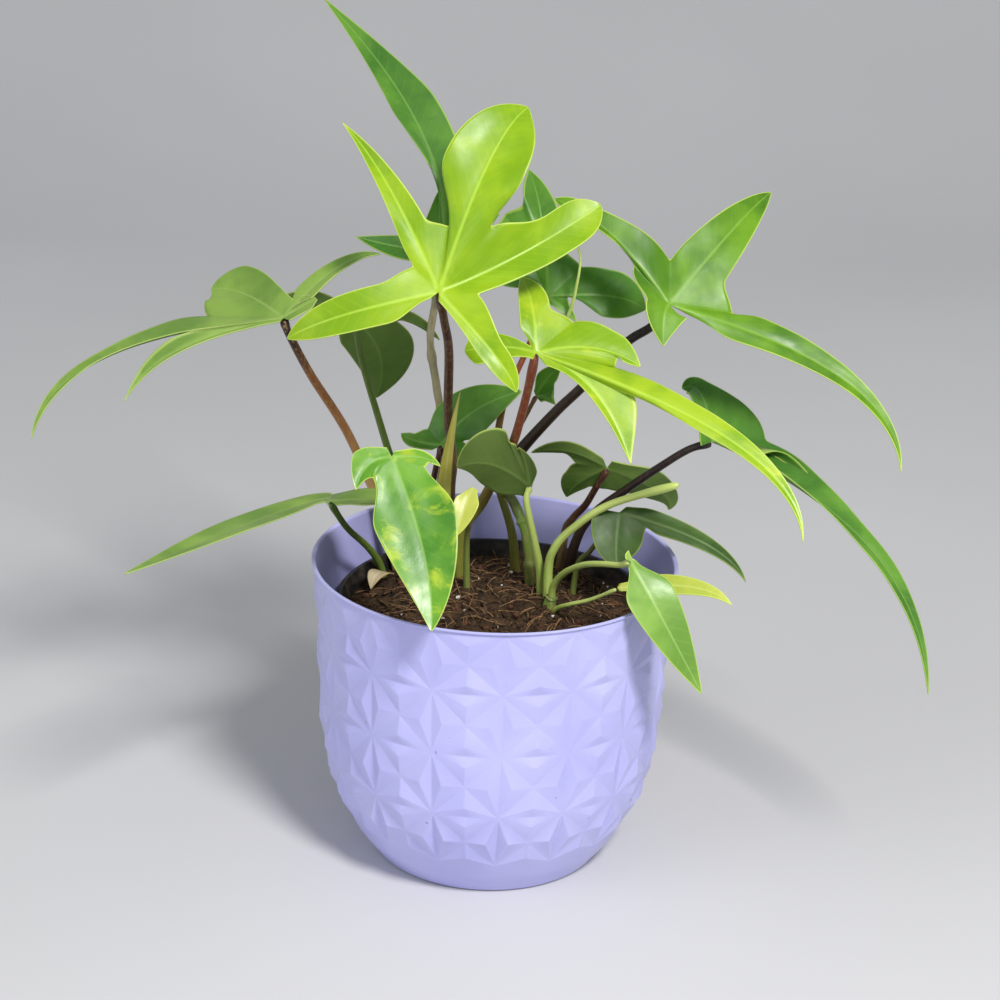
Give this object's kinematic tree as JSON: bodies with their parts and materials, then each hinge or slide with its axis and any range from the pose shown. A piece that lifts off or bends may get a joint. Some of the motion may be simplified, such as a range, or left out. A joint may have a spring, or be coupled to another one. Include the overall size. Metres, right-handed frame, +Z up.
{
  "type": "potted plant",
  "caption": "Potted philodendron with arching lobed leaves on long petioles, rooted in a black nursery pot inside a rounded lavender plastic pot pressed with a star-facet pattern.",
  "frame": {"origin": "centre of the underside of the outer pot, on the surface it stands on", "axes": "+Z up; +X to the right and +Y to the back, as seen from the side that the front leaves face"},
  "size_m": [0.3532, 0.1834, 0.3362],
  "materials": {
    "black_plastic": "matte",
    "blade_bright": "satin",
    "blade_dark": "satin",
    "blade_gold": "satin",
    "blade_lime": "satin",
    "blade_olive": "satin",
    "cane_green": "satin",
    "cane_pale": "matte",
    "dry_tissue": "matte",
    "lavender_plastic": "satin",
    "petiole_black": "satin",
    "petiole_brown": "satin",
    "petiole_green": "satin",
    "petiole_olive": "satin",
    "petiole_red": "satin",
    "petiole_tan": "satin",
    "potting_mix": "matte",
    "yellow_tissue": "satin"
  },
  "bodies": {
    "root": {"blade_back_dark": "blade_dark", "blade_centre_gold": "blade_gold", "blade_centre_small": "blade_dark", "blade_front_drooping": "blade_bright", "blade_front_hanging": "blade_bright", "blade_front_lime": "blade_lime", "blade_left_arching": "blade_bright", "blade_left_hanging": "blade_olive", "blade_left_low": "blade_dark", "blade_mid_dark": "blade_dark", "blade_mid_under": "blade_olive", "blade_mid_yellow": "blade_gold", "blade_right_arching": "blade_dark", "blade_right_dark": "blade_dark", "blade_right_low": "blade_gold", "blade_right_under": "blade_olive", "blade_right_upper": "blade_bright", "blade_tall_back": "blade_dark", "cane_back": "cane_pale", "cane_middle": "cane_green", "dry_sheath": "dry_tissue", "nursery_pot": "black_plastic", "old_sheath": "yellow_tissue", "outer_pot": "lavender_plastic", "petiole_back_dark": "petiole_red", "petiole_centre_gold": "petiole_red", "petiole_centre_small": "petiole_olive", "petiole_cut": "petiole_green", "petiole_front_drooping": "petiole_green", "petiole_front_hanging": "petiole_olive", "petiole_front_lime": "petiole_brown", "petiole_left_arching": "petiole_tan", "petiole_left_hanging": "petiole_olive", "petiole_left_low": "petiole_olive", "petiole_mid_dark": "petiole_brown", "petiole_mid_under": "petiole_green", "petiole_mid_yellow": "petiole_olive", "petiole_right_arching": "petiole_black", "petiole_right_dark": "petiole_olive", "petiole_right_low": "petiole_green", "petiole_right_under": "petiole_brown", "petiole_right_upper": "petiole_black", "petiole_tall_back": "petiole_olive", "plantlet_base": "cane_green", "potting_mix": "potting_mix", "spear_new_leaf": "petiole_green"}
  },
  "joints": []
}
